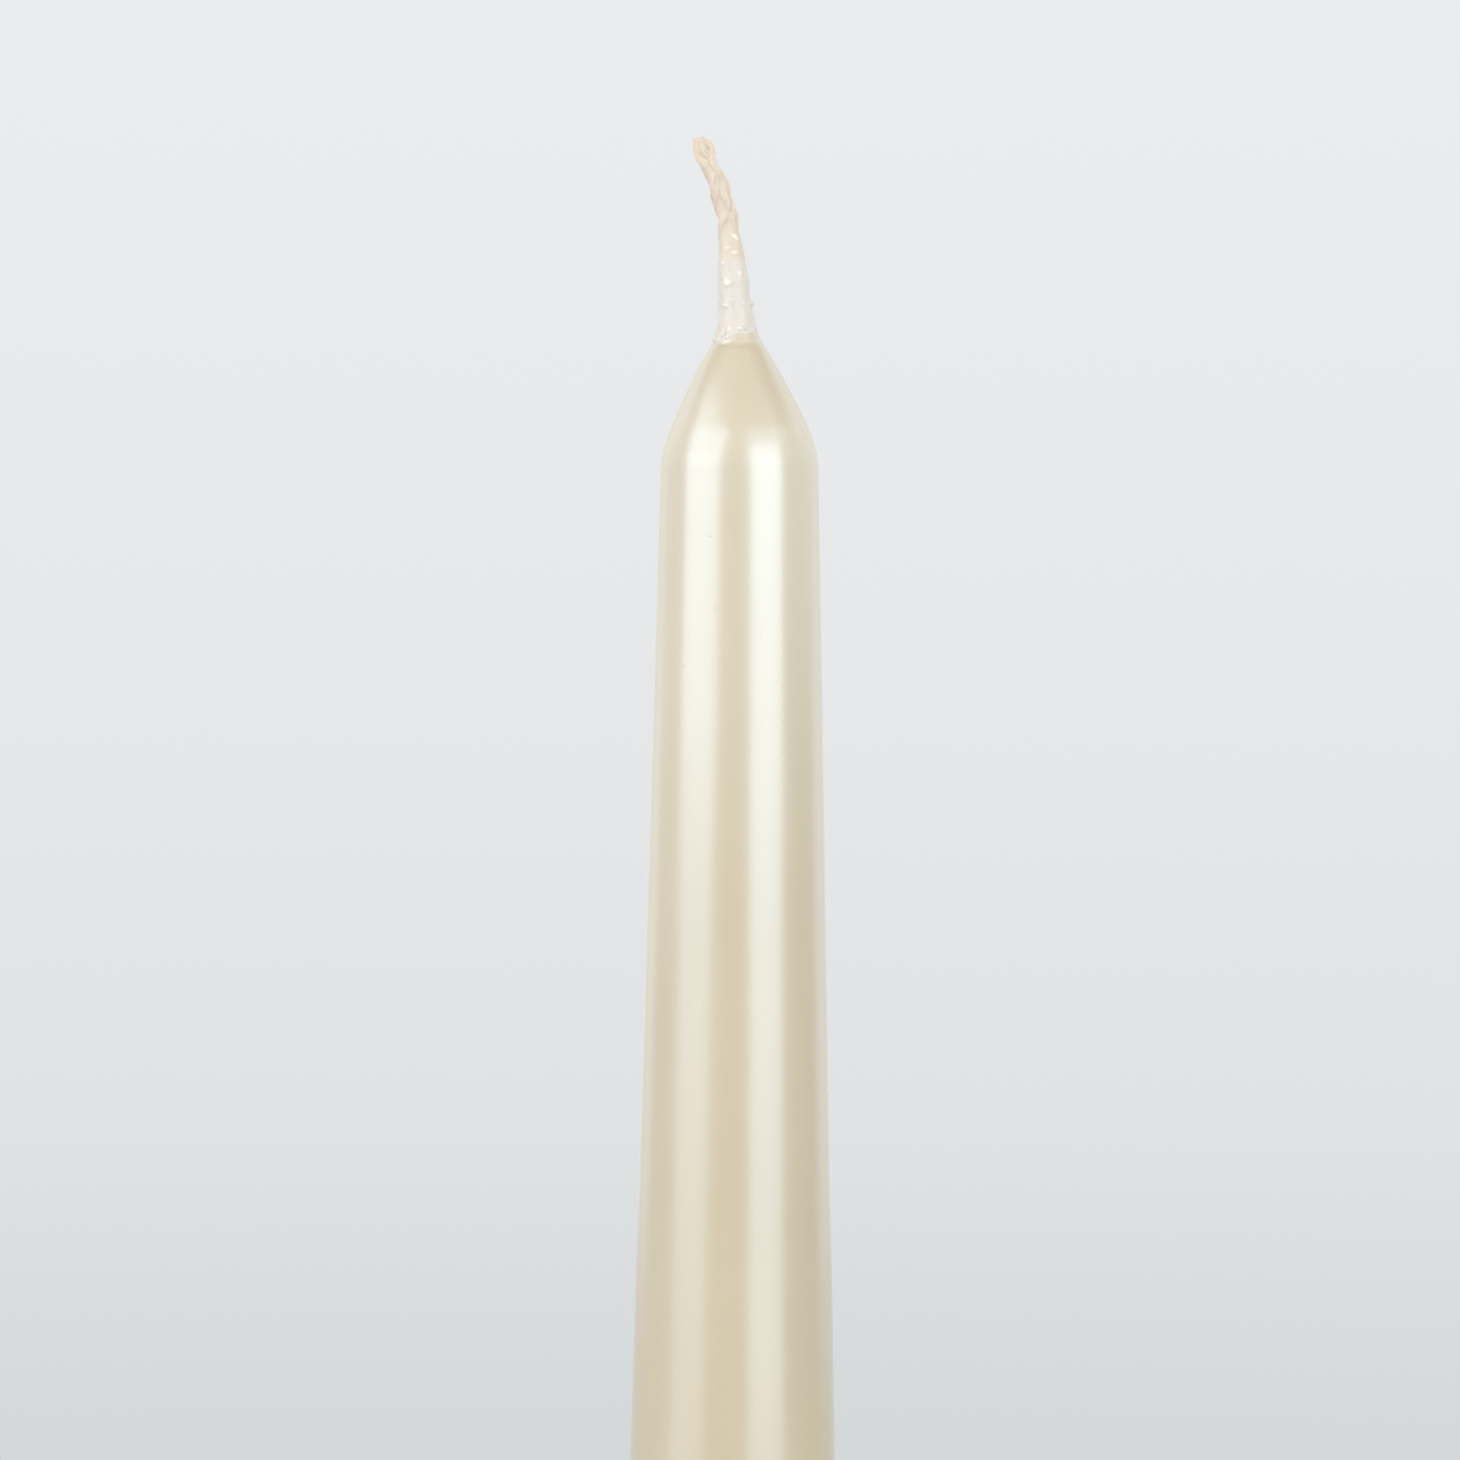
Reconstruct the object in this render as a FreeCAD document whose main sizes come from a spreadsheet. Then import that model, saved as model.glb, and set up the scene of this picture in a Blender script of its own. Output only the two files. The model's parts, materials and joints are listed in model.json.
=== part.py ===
import FreeCAD, Part

import math
import os

import Sketcher
from FreeCAD import Rotation, Vector

# A lacquered taper candle: a wax body cast round one plaited cotton wick.
# The origin is the centre of the foot, +Z runs up to the wick, and the wick leans towards -X.
# Lengths are in millimetres and leans in degrees.

SIZES = {
    # wax body, from the foot up
    "BodyHeight": (250.0, "foot to the neck, where the lacquer ends at the wick"),
    "FootDiameter": (22.0, "straight foot that stands in a holder's socket"),
    "FootHeight": (20.0, "straight part of the foot"),
    "FootEdgeRadius": (0.8, "rounded edge under the foot"),
    "ShoulderDiameter": (12.0, "upper end of the long taper"),
    "ShoulderRadius": (9.0, "rounding from the taper into the nose"),
    "NoseHeight": (10.2, "upper end of the taper to the neck"),
    "NoseRadius": (49.0, "swell of the pointed nose"),
    "NeckDiameter": (3.3, "flat top of the nose round the wick"),
    # wax that climbs the wick above the nose
    "SleeveHeight": (7.0, "neck to the end of the wax sleeve"),
    "SleeveTipWall": (0.15, "wax beside the braid at the end of the sleeve"),
    "SleeveRootWall": (0.57, "wax beside the braid at the top of the flare"),
    "SleeveFlareHeight": (1.2, "neck to the top of the flare"),
    "SleeveFlareRadius": (5.0, "hollow curve of the flare"),
    "SleeveRootDepth": (0.9, "how deep the flare starts under the neck"),
    # plaited cotton wick: its section has two round edges with a flat between them
    "WickThickness": (1.3, "through the braid"),
    "WickFlat": (0.3, "flat between the braid's round edges"),
    "WickRecess": (0.4, "cut end of the wick, up inside the foot"),
    "WickLeanDepth": (7.1, "depth under the neck where the wick starts to lean"),
    "WickLowerRadius": (110.0, "curve of the lower bend"),
    "WickLowerAngle": (4.8, "lean after the lower bend"),
    "WickMiddleRun": (4.6, "straight between the bends"),
    "WickUpperRadius": (18.0, "curve of the upper bend"),
    "WickUpperAngle": (19.5, "lean after the upper bend"),
    "WickUpperRun": (0.7, "straight from the upper bend to the uneven end"),
    # uneven end of the braid: pinched, then splayed, then cut off nearly level
    "TipPinchRun": (0.95, "even braid to the pinch"),
    "TipPinchThickness": (1.05, "through the pinch"),
    "TipPinchFlat": (0.1, "flat at the pinch"),
    "TipFlareRun": (1.0, "pinch to the splayed strands"),
    "TipFlareThickness": (1.2, "through the splayed strands"),
    "TipFlareFlat": (0.35, "flat at the splayed strands"),
    "TipEndRun": (1.35, "splayed strands to the cut"),
    "TipEndThickness": (0.85, "through the cut end"),
    "TipEndFlat": (0.25, "flat at the cut end"),
    "TipCutAngle": (4.0, "lean of the cut"),
}

UPRIGHT = 90.0
FULL_TURN = 360.0

doc = FreeCAD.newDocument("TaperCandle")
sheet = doc.addObject("Spreadsheet::Sheet", "Sizes")
for row, (alias, (value, note)) in enumerate(SIZES.items(), start=1):
    sheet.set(f"A{row}", alias)
    sheet.set(f"B{row}", str(value))
    sheet.set(f"C{row}", note)
    sheet.setAlias(f"B{row}", alias)
doc.recompute()


def size(alias):
    """The value in the sheet's cell of that name."""
    return float(sheet.get(alias))


def new_sketch(body, name, role):
    """An empty sketch on one of the body's own origin planes."""
    sketch = body.newObject("Sketcher::SketchObject", name)
    plane = next(feature for feature in body.Origin.OriginFeatures if feature.Role == role)
    sketch.AttachmentSupport = [(plane, "")]
    sketch.MapMode = "FlatFace"
    return sketch


def tie(sketch, *constraint):
    """Adds a constraint that has no dimension."""
    sketch.addConstraint(Sketcher.Constraint(*constraint))


def join(sketch, first, second, kind="Coincident"):
    """Ties the end of one piece of geometry to the start of the next."""
    tie(sketch, kind, first, 2, second, 1)


def bind(sketch, name, expression, *constraint):
    """Adds a dimension, names it and ties it to the sheet."""
    index = sketch.addConstraint(Sketcher.Constraint(*constraint))
    sketch.renameConstraint(index, name)
    sketch.setExpression(f"Constraints.{name}", expression)


def place(sketch, name, edge, end, point, across, along):
    """Fixes one end of an edge by its distances from the sketch's origin."""
    bind(sketch, name + "Across", across, "DistanceX", -1, 1, edge, end, point.x)
    bind(sketch, name + "Height", along, "DistanceY", -1, 1, edge, end, point.y)


def measure(sketch, name, edge, end, point):
    """Adds reference dimensions, for later sketches to read where a point came to lie."""
    for kind, axis, value in (("Across", "X", point.x), ("Height", "Y", point.y)):
        index = sketch.addConstraint(
            Sketcher.Constraint(f"Distance{axis}", -1, 1, edge, end, value)
        )
        sketch.setDriving(index, False)
        sketch.renameConstraint(index, name + kind)


def arc_between(centre, radius, start, end):
    """Arc from start to end, turning anticlockwise about centre."""
    circle = Part.Circle(centre, Vector(0, 0, 1), radius)
    first = math.atan2(start.y - centre.y, start.x - centre.x)
    last = math.atan2(end.y - centre.y, end.x - centre.x)
    return Part.ArcOfCircle(circle, first, last)


def leaning(lean):
    """Unit vector in a sketch's plane, that far to the left of upright."""
    return Vector(-math.sin(math.radians(lean)), math.cos(math.radians(lean)), 0)


def sideways(way):
    """Unit vector to the left of a way in a sketch's plane."""
    return Vector(-way.y, way.x, 0)


def revolve(body, sketch, name):
    """Turns a profile about its own vertical axis."""
    turned = body.newObject("PartDesign::Revolution", name)
    turned.Profile = sketch
    turned.ReferenceAxis = (sketch, ["V_Axis"])
    turned.Angle = FULL_TURN
    return turned


def nose_arcs(foot_top, shoulder, neck):
    """Centres of the shoulder's arc and the nose's arc, and the point where they meet.

    The shoulder's arc leaves the taper smoothly, and the nose's arc goes on smoothly to the neck.
    """
    shoulder_radius = size("ShoulderRadius")
    nose_radius = size("NoseRadius")
    inward = sideways((shoulder - foot_top).normalize())
    shoulder_centre = shoulder + inward * shoulder_radius
    # both centres and the neck make a triangle with three known sides
    between = nose_radius - shoulder_radius
    to_neck = neck - shoulder_centre
    cosine = (nose_radius**2 - between**2 - to_neck.Length**2) / (2 * between * to_neck.Length)
    meeting_way = math.atan2(to_neck.y, to_neck.x) - math.acos(cosine)
    outward = Vector(math.cos(meeting_way), math.sin(meeting_way), 0)
    nose_centre = shoulder_centre - outward * between
    return shoulder_centre, nose_centre, shoulder_centre + outward * shoulder_radius


def turned_wax(body):
    """Foot, long taper, shoulder and nose, turned about the candle's axis."""
    foot = size("FootDiameter") / 2
    edge = size("FootEdgeRadius")
    centre_low = Vector(0, 0, 0)
    centre_top = Vector(0, size("BodyHeight"), 0)
    edge_start = Vector(foot - edge, 0, 0)
    edge_end = Vector(foot, edge, 0)
    foot_top = Vector(foot, size("FootHeight"), 0)
    shoulder = Vector(size("ShoulderDiameter") / 2, size("BodyHeight") - size("NoseHeight"), 0)
    neck = Vector(size("NeckDiameter") / 2, size("BodyHeight"), 0)
    shoulder_centre, nose_centre, meeting = nose_arcs(foot_top, shoulder, neck)

    sketch = new_sketch(body, "CandleProfile", "XZ_Plane")
    base, edge_arc, wall, taper, shoulder_arc, nose_arc, neck_flat, axis = sketch.addGeometry([
        Part.LineSegment(centre_low, edge_start),
        arc_between(Vector(foot - edge, edge, 0), edge, edge_start, edge_end),
        Part.LineSegment(edge_end, foot_top),
        Part.LineSegment(foot_top, shoulder),
        arc_between(shoulder_centre, size("ShoulderRadius"), shoulder, meeting),
        arc_between(nose_centre, size("NoseRadius"), meeting, neck),
        Part.LineSegment(neck, centre_top),
        Part.LineSegment(centre_top, centre_low),
    ])
    tie(sketch, "Coincident", base, 1, -1, 1)
    tie(sketch, "Horizontal", base)
    join(sketch, base, edge_arc, "Tangent")
    join(sketch, edge_arc, wall, "Tangent")
    join(sketch, wall, taper)
    join(sketch, taper, shoulder_arc, "Tangent")
    join(sketch, shoulder_arc, nose_arc, "Tangent")
    join(sketch, nose_arc, neck_flat)
    tie(sketch, "Horizontal", neck_flat)
    join(sketch, neck_flat, axis)
    tie(sketch, "Vertical", axis)
    join(sketch, axis, base)
    bind(sketch, "FootEdge", "Sizes.FootEdgeRadius", "Radius", edge_arc, edge)
    bind(sketch, "Shoulder", "Sizes.ShoulderRadius", "Radius", shoulder_arc, size("ShoulderRadius"))
    bind(sketch, "Nose", "Sizes.NoseRadius", "Radius", nose_arc, size("NoseRadius"))
    place(sketch, "FootTop", wall, 2, foot_top, "Sizes.FootDiameter / 2", "Sizes.FootHeight")
    taper_top = "Sizes.BodyHeight - Sizes.NoseHeight"
    place(sketch, "TaperTop", taper, 2, shoulder, "Sizes.ShoulderDiameter / 2", taper_top)
    place(sketch, "Neck", nose_arc, 2, neck, "Sizes.NeckDiameter / 2", "Sizes.BodyHeight")
    return revolve(body, sketch, "TurnedWax")


def wick_route(body, name, begin, begin_cell):
    """The wick's centre line: an upright shaft, then two bends with a straight after each.

    It begins at a height that begin_cell names in the sheet, or at the foot's underside.
    """
    lower_radius = size("WickLowerRadius")
    upper_radius = size("WickUpperRadius")
    upright = leaning(0)
    lower_way = leaning(size("WickLowerAngle"))
    upper_way = leaning(size("WickUpperAngle"))
    shaft_top = upright * (size("BodyHeight") - size("WickLeanDepth"))
    lower_centre = shaft_top + sideways(upright) * lower_radius
    middle_start = lower_centre - sideways(lower_way) * lower_radius
    middle_end = middle_start + lower_way * size("WickMiddleRun")
    upper_centre = middle_end + sideways(lower_way) * upper_radius
    upper_start = upper_centre - sideways(upper_way) * upper_radius
    route_end = upper_start + upper_way * size("WickUpperRun")

    sketch = new_sketch(body, name, "XZ_Plane")
    shaft, lower_arc, middle, upper_arc, last = sketch.addGeometry([
        Part.LineSegment(upright * begin, shaft_top),
        arc_between(lower_centre, lower_radius, shaft_top, middle_start),
        Part.LineSegment(middle_start, middle_end),
        arc_between(upper_centre, upper_radius, middle_end, upper_start),
        Part.LineSegment(upper_start, route_end),
    ])
    tie(sketch, "Vertical", shaft)
    if begin_cell:
        tie(sketch, "PointOnObject", shaft, 1, -2)
        bind(sketch, "Begin", f"Sizes.{begin_cell}", "DistanceY", -1, 1, shaft, 1, begin)
    else:
        tie(sketch, "Coincident", shaft, 1, -1, 1)
    for first, second in ((shaft, lower_arc), (lower_arc, middle), (middle, upper_arc), (upper_arc, last)):
        join(sketch, first, second, "Tangent")
    bind(
        sketch,
        "ShaftTop",
        "Sizes.BodyHeight - Sizes.WickLeanDepth",
        *("DistanceY", -1, 1, shaft, 2, shaft_top.y),
    )
    for label, arc, line, run in (
        ("Lower", lower_arc, middle, "WickMiddleRun"),
        ("Upper", upper_arc, last, "WickUpperRun"),
    ):
        radius, lean = f"Wick{label}Radius", f"Wick{label}Angle"
        angle = math.radians(UPRIGHT + size(lean))
        bind(sketch, f"{label}Bend", f"Sizes.{radius}", "Radius", arc, size(radius))
        bind(sketch, f"{label}Lean", f"({UPRIGHT} + Sizes.{lean}) * 1 deg", "Angle", line, angle)
        bind(sketch, f"{label}Run", f"Sizes.{run}", "Distance", line, size(run))
    measure(sketch, "MiddleStart", middle, 1, middle_start)
    measure(sketch, "End", last, 2, route_end)
    return sketch


def climbing_wax(body, route):
    """Wax that climbs the wick: a hollow flare out of the nose, then a thin sleeve that tapers.

    Its profile stands on the wick's middle straight, and is turned about it.
    """
    lean = size("WickLowerAngle")
    start = route.getDatum("MiddleStartHeight").Value
    braid = (size("WickThickness") + size("WickFlat")) / 2
    radius = size("SleeveFlareRadius")

    def height(signed_size):
        """Height along the leaning wick of a level that lies so far over the neck."""
        return (size("BodyHeight") + signed_size - start) / math.cos(math.radians(lean))

    def height_expression(signed_cell):
        over_neck = f"(Sizes.BodyHeight {signed_cell}) * 1 mm - {route.Name}.Constraints.MiddleStartHeight"
        return f"({over_neck}) / cos(Sizes.WickLowerAngle * 1 deg)"

    root = Vector(0, height(-size("SleeveRootDepth")), 0)
    flare_top = Vector(braid + size("SleeveRootWall"), height(size("SleeveFlareHeight")), 0)
    tip = Vector(braid + size("SleeveTipWall"), height(size("SleeveHeight")), 0)
    flare_centre = flare_top - sideways((tip - flare_top).normalize()) * radius
    drop = flare_centre.y - root.y
    flare_start = Vector(flare_centre.x - math.sqrt(radius**2 - drop**2), root.y, 0)
    tip_centre = Vector(0, tip.y, 0)

    sketch = new_sketch(body, "SleeveProfile", "XZ_Plane")
    sketch.AttachmentOffset.Rotation = Rotation(Vector(0, 0, 1), lean)
    sketch.setExpression("AttachmentOffset.Rotation.Angle", "Sizes.WickLowerAngle * 1 deg")
    sketch.setExpression("AttachmentOffset.Base.x", f"{route.Name}.Constraints.MiddleStartAcross")
    sketch.setExpression("AttachmentOffset.Base.y", f"{route.Name}.Constraints.MiddleStartHeight")
    base, flare, wall, end, axis = sketch.addGeometry([
        Part.LineSegment(root, flare_start),
        arc_between(flare_centre, radius, flare_top, flare_start),
        Part.LineSegment(flare_top, tip),
        Part.LineSegment(tip, tip_centre),
        Part.LineSegment(tip_centre, root),
    ])
    # the hollow arc runs anticlockwise, so it starts at the sleeve and ends at the base
    tie(sketch, "Coincident", base, 2, flare, 2)
    tie(sketch, "Tangent", flare, 1, wall, 1)
    join(sketch, wall, end)
    join(sketch, end, axis)
    join(sketch, axis, base)
    tie(sketch, "Horizontal", base)
    tie(sketch, "Horizontal", end)
    tie(sketch, "PointOnObject", axis, 1, -2)
    tie(sketch, "PointOnObject", axis, 2, -2)
    bind(sketch, "Flare", "Sizes.SleeveFlareRadius", "Radius", flare, radius)
    across = "(Sizes.WickThickness + Sizes.WickFlat) / 2 + Sizes."
    flare_height = height_expression("+ Sizes.SleeveFlareHeight")
    tip_height = height_expression("+ Sizes.SleeveHeight")
    root_height = height_expression("- Sizes.SleeveRootDepth")
    place(sketch, "FlareTop", wall, 1, flare_top, across + "SleeveRootWall", flare_height)
    place(sketch, "Tip", wall, 2, tip, across + "SleeveTipWall", tip_height)
    bind(sketch, "RootHeight", root_height, "DistanceY", -1, 1, axis, 2, root.y)
    return revolve(body, sketch, "ClimbingWax")


def braid_section(sketch, thickness, flat):
    """Draws the braid's section. thickness and flat name cells of the sheet."""
    round_edge = size(thickness) / 2
    reach = size(flat) / 2
    right = Vector(reach, 0, 0)
    left = Vector(-reach, 0, 0)
    up = Vector(0, round_edge, 0)
    right_edge, back, left_edge, front = sketch.addGeometry([
        arc_between(right, round_edge, right - up, right + up),
        Part.LineSegment(right + up, left + up),
        Part.ArcOfCircle(
            Part.Circle(left, Vector(0, 0, 1), round_edge),
            math.radians(UPRIGHT),
            math.radians(FULL_TURN - UPRIGHT),
        ),
        Part.LineSegment(left - up, right - up),
    ])
    join(sketch, right_edge, back, "Tangent")
    join(sketch, back, left_edge, "Tangent")
    join(sketch, left_edge, front, "Tangent")
    join(sketch, front, right_edge, "Tangent")
    tie(sketch, "Horizontal", back)
    tie(sketch, "PointOnObject", right_edge, 3, -1)
    tie(sketch, "Symmetric", right_edge, 3, left_edge, 3, -1, 1)
    bind(sketch, "RoundEdge", f"Sizes.{thickness} / 2", "Radius", right_edge, round_edge)
    bind(sketch, "Reach", f"Sizes.{flat} / 2", "DistanceX", -1, 1, right_edge, 3, reach)


def level_section(body, name, height_cell):
    """The even braid's section lying level, at a height in the sheet or at the foot's underside."""
    sketch = new_sketch(body, name, "XY_Plane")
    if height_cell:
        sketch.setExpression("AttachmentOffset.Base.z", f"Sizes.{height_cell}")
    braid_section(sketch, "WickThickness", "WickFlat")
    return sketch


def sweep(body, kind, name, section, route):
    swept = body.newObject(f"PartDesign::{kind}", name)
    swept.Profile = section
    swept.Spine = route
    return swept


def wax_body():
    """The wax body, with the channel that the wick fills."""
    body = doc.addObject("PartDesign::Body", "WaxBody")
    body.Label = "wax_body"
    turned_wax(body)
    route = wick_route(body, "ChannelRoute", 0.0, None)
    doc.recompute()
    climbing_wax(body, route)
    doc.recompute()
    whole = body.Shape.Volume
    section = level_section(body, "ChannelSection", None)
    body.Tip = sweep(body, "SubtractivePipe", "WickChannel", section, route)
    doc.recompute()
    cut = whole - body.Shape.Volume
    straight = Part.Face(section.Shape.Wires).Area * size("BodyHeight")
    print(f"the wick's channel takes {cut:.1f} mm3, and upright and without the sleeve {straight:.1f}")
    if cut < straight:
        raise RuntimeError("the channel for the wick wasn't cut")
    return body


def tip_section(body, name, route, runs, lean, thickness, flat):
    """A section of the uneven end, as far past the end of the route as the runs named add up to."""
    sketch = new_sketch(body, name, "XY_Plane")
    run = "(" + " + ".join(["0"] + [f"Sizes.{cell}" for cell in runs]) + ") * 1 mm"
    upper_lean = "Sizes.WickUpperAngle * 1 deg"
    sketch.AttachmentOffset.Rotation = Rotation(Vector(0, -1, 0), size(lean))
    sketch.setExpression("AttachmentOffset.Rotation.Angle", f"Sizes.{lean} * 1 deg")
    for axis, reference, share in (
        ("x", "EndAcross", f"-sin({upper_lean})"),
        ("z", "EndHeight", f"cos({upper_lean})"),
    ):
        place_there = f"{route.Name}.Constraints.{reference} + {run} * {share}"
        sketch.setExpression(f"AttachmentOffset.Base.{axis}", place_there)
    braid_section(sketch, thickness, flat)
    return sketch


def wick():
    """The waxed cotton braid, from inside the foot to its cut tip."""
    body = doc.addObject("PartDesign::Body", "Wick")
    body.Label = "wick"
    route = wick_route(body, "WickRoute", size("WickRecess"), "WickRecess")
    section = level_section(body, "BraidSection", "WickRecess")
    sweep(body, "AdditivePipe", "Braid", section, route)
    doc.recompute()
    stations = []
    runs = []
    for name, run, lean, sizes in (
        ("TipStart", None, "WickUpperAngle", "Wick"),
        ("TipPinch", "TipPinchRun", "WickUpperAngle", "TipPinch"),
        ("TipFlare", "TipFlareRun", "WickUpperAngle", "TipFlare"),
        ("TipEnd", "TipEndRun", "TipCutAngle", "TipEnd"),
    ):
        if run:
            runs.append(run)
        stations.append(
            tip_section(body, name, route, runs, lean, f"{sizes}Thickness", f"{sizes}Flat")
        )
    doc.recompute()
    tip = body.newObject("PartDesign::AdditiveLoft", "SplayedTip")
    tip.Profile = stations[0]
    tip.Sections = [(station, "") for station in stations[1:]]
    body.Tip = tip
    return body


subparts = [wax_body(), wick()]
doc.recompute()

for part in doc.Objects:
    if "Invalid" in part.State or "Error" in part.State:
        raise RuntimeError(f"{part.Name} couldn't be built: {part.State}")
for subpart in subparts:
    shape = subpart.Shape
    if shape.isNull() or not shape.isValid() or len(shape.Solids) != 1:
        raise RuntimeError(f"{subpart.Label} isn't one sound solid")

os.makedirs("parts", exist_ok=True)
for subpart in subparts:
    subpart.Shape.exportStep(os.path.join("parts", subpart.Label + ".step"))
    box = subpart.Shape.BoundBox
    print(f"{subpart.Label}: {subpart.Shape.Volume:.1f} mm3, z {box.ZMin:.2f} to {box.ZMax:.2f}")
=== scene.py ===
# Taper candle in pearl lacquer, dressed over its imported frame.
# Lengths in the dictionaries are millimetres, turned into metres by mm.
import json
import math
import random

import bpy
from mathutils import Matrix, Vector, noise

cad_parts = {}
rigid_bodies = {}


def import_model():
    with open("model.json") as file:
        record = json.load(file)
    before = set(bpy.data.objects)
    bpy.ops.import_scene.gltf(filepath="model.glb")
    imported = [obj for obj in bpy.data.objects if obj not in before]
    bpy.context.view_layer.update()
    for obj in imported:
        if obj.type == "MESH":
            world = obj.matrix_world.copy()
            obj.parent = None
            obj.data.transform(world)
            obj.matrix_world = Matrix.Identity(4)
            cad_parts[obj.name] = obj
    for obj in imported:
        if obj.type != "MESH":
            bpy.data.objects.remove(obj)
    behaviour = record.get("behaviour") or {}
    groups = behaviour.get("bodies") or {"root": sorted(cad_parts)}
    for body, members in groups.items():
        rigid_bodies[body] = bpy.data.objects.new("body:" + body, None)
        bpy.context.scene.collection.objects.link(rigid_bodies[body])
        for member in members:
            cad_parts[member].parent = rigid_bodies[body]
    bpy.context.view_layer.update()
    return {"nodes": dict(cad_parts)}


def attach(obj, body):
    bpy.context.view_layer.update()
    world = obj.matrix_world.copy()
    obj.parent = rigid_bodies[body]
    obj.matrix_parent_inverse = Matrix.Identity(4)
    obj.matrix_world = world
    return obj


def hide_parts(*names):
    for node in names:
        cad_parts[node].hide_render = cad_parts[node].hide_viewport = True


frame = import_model()
mm = 0.001
random.seed(24)
print("frame loaded:", sorted(frame["nodes"]))


def pickOnly(piece):
    bpy.ops.object.select_all(action="DESELECT")
    piece.select_set(True)
    bpy.context.view_layer.objects.active = piece


def openMesh(piece):
    pickOnly(piece)
    bpy.ops.object.mode_set(mode="EDIT")
    bpy.ops.mesh.select_all(action="SELECT")


def closeMesh():
    bpy.ops.object.mode_set(mode="OBJECT")


def settle(piece):  # the place goes into the mesh, the object stays at the origin
    pickOnly(piece)
    bpy.ops.object.transform_apply(location=True, rotation=True, scale=True)


def useModifier(piece, kind, **choices):
    pickOnly(piece)
    step = piece.modifiers.new(kind.title(), kind)
    for choice, value in choices.items():
        setattr(step, choice, value)
    bpy.ops.object.modifier_apply(modifier=step.name)


def smoothFaces(piece, degrees):
    pickOnly(piece)
    bpy.ops.object.shade_smooth_by_angle(angle=math.radians(degrees))


def resizeMesh(piece, factor):
    openMesh(piece)
    bpy.ops.transform.resize(value=(factor, factor, factor), center_override=(0, 0, 0))
    closeMesh()


def fuse(piece, grain, rounds):  # closes touching parts into one skin
    growth = 100  # a voxel remesh has no grain under 0.1 mm, so it works on a larger piece
    resizeMesh(piece, growth)
    useModifier(piece, "REMESH", mode="VOXEL", voxel_size=grain * mm * growth)
    useModifier(piece, "SMOOTH", factor=0.5, iterations=rounds)
    resizeMesh(piece, 1 / growth)


def dropScraps(piece):  # leaves the largest island only
    name = piece.name
    openMesh(piece)
    bpy.ops.mesh.separate(type="LOOSE")
    closeMesh()
    islands = list(bpy.context.selected_objects)
    kept = max(islands, key=lambda island: len(island.data.vertices))
    for island in islands:
        if island != kept:
            bpy.data.objects.remove(island)
    kept.name = name
    kept.data.name = name
    return kept


def joinPieces(name, pieces):
    bpy.ops.object.select_all(action="DESELECT")
    for piece in pieces:
        piece.select_set(True)
    bpy.context.view_layer.objects.active = pieces[0]
    bpy.ops.object.join()
    piece = bpy.context.object
    piece.name = name
    piece.data.name = name
    return piece


def ease(value):  # 0 to 1 with soft ends
    value = min(max(value, 0.0), 1.0)
    return value * value * (3 - 2 * value)


def between(table, value):  # reads a table of (place, amount) rows, with soft steps
    if value <= table[0][0]:
        return table[0][1]
    for (lowPlace, lowAmount), (highPlace, highAmount) in zip(table, table[1:]):
        if value <= highPlace:
            share = (value - lowPlace) / (highPlace - lowPlace)
            return lowAmount + (highAmount - lowAmount) * ease(share)
    return table[-1][1]


def aroundDegrees(x, y):  # 0 faces the camera, plus is to its right
    return math.degrees(math.atan2(x, -y))


def roundNoise(turn, waves, layer):  # uneven all the way round, without a seam
    return noise.noise(Vector((math.cos(turn) * waves, math.sin(turn) * waves, layer)))


# a tube raised ring by ring from a circle: rows of x, y, half width, half depth, height
def raiseRings(name, rows, segments):
    x, y, wide, deep, high = rows[0]
    bpy.ops.object.select_all(action="DESELECT")
    bpy.ops.mesh.primitive_circle_add(
        vertices=segments, radius=wide * mm, fill_type="NOTHING",
        location=(x * mm, y * mm, high * mm))
    piece = bpy.context.object
    piece.name = name
    piece.data.name = name
    settle(piece)
    openMesh(piece)
    bpy.ops.transform.resize(
        value=(1, deep / wide, 1), center_override=(x * mm, y * mm, high * mm))
    for row in rows[1:]:
        nextX, nextY, nextWide, nextDeep, nextHigh = row
        step = ((nextX - x) * mm, (nextY - y) * mm, (nextHigh - high) * mm)
        bpy.ops.mesh.extrude_edges_move(TRANSFORM_OT_translate={"value": step})
        bpy.ops.transform.resize(
            value=(nextWide / wide, nextDeep / deep, 1),
            center_override=(nextX * mm, nextY * mm, nextHigh * mm))
        x, y, wide, deep, high = row
    bpy.ops.mesh.select_all(action="SELECT")
    bpy.ops.mesh.fill_holes(sides=0)
    bpy.ops.mesh.select_all(action="SELECT")
    bpy.ops.mesh.normals_make_consistent(inside=False)
    closeMesh()
    return piece


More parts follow.
